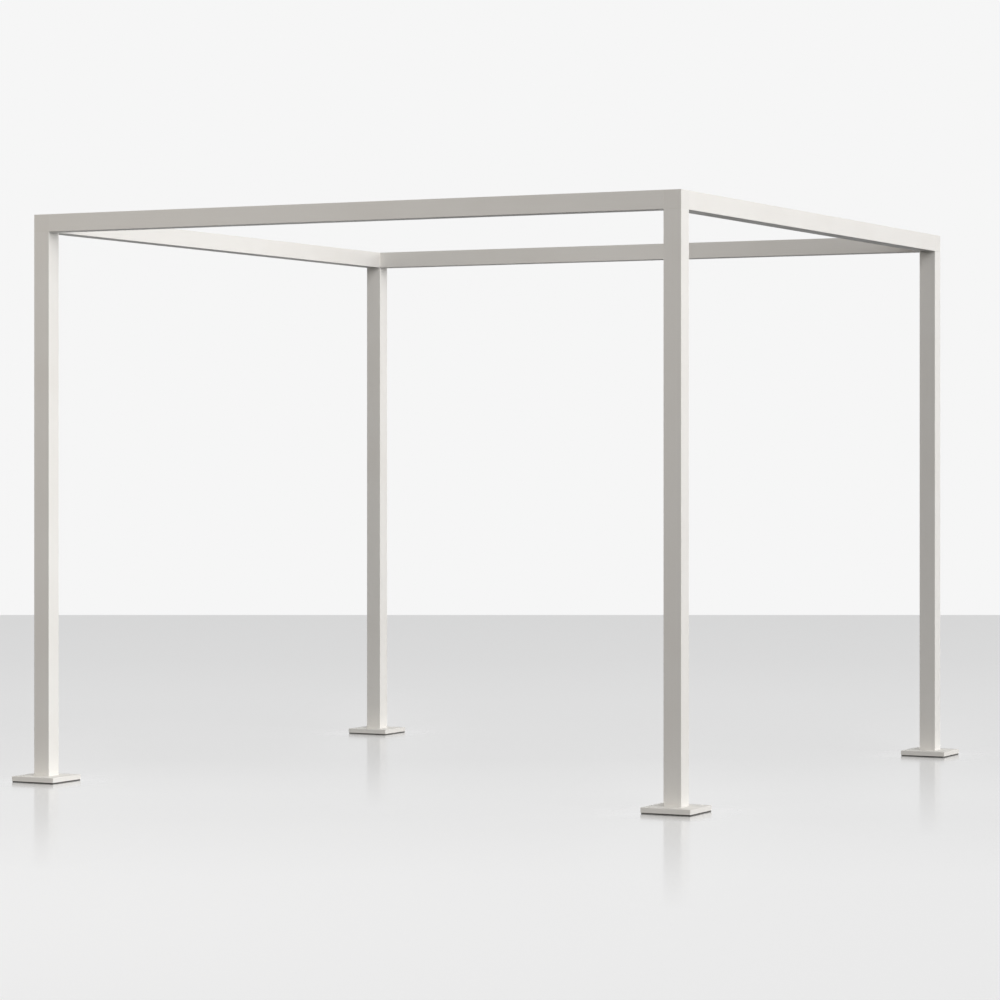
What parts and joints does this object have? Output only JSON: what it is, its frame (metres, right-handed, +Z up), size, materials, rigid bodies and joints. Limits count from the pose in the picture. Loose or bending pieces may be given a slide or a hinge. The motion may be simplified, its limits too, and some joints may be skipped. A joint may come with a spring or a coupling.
{
  "type": "pergola",
  "caption": "Open square pergola frame of flush square tubes on base plates, roofless, powder-coated off-white.",
  "frame": {"origin": "on the floor under the middle of the frame, which is the bottom centre of its box", "axes": "+Z up, +X to the right of the frame, +Y to its back; the post screws face +Y"},
  "size_m": [3.135, 3.135, 2.41],
  "materials": {
    "powder_coat": "satin",
    "bare_aluminium": "satin",
    "stainless_steel": "satin",
    "rubber": "matte"
  },
  "bodies": {
    "root": {"post_front_left": "powder_coat", "corner_front_left": "powder_coat", "base_plate_front_left": "powder_coat", "foot_socket_front_left": "bare_aluminium", "rubber_pad_front_left": "rubber", "post_front_right": "powder_coat", "corner_front_right": "powder_coat", "base_plate_front_right": "powder_coat", "foot_socket_front_right": "bare_aluminium", "rubber_pad_front_right": "rubber", "post_back_left": "powder_coat", "corner_back_left": "powder_coat", "base_plate_back_left": "powder_coat", "foot_socket_back_left": "bare_aluminium", "rubber_pad_back_left": "rubber", "post_back_right": "powder_coat", "corner_back_right": "powder_coat", "base_plate_back_right": "powder_coat", "foot_socket_back_right": "bare_aluminium", "rubber_pad_back_right": "rubber", "beam_front": "powder_coat", "beam_back": "powder_coat", "beam_left": "powder_coat", "beam_right": "powder_coat"}
  },
  "joints": []
}
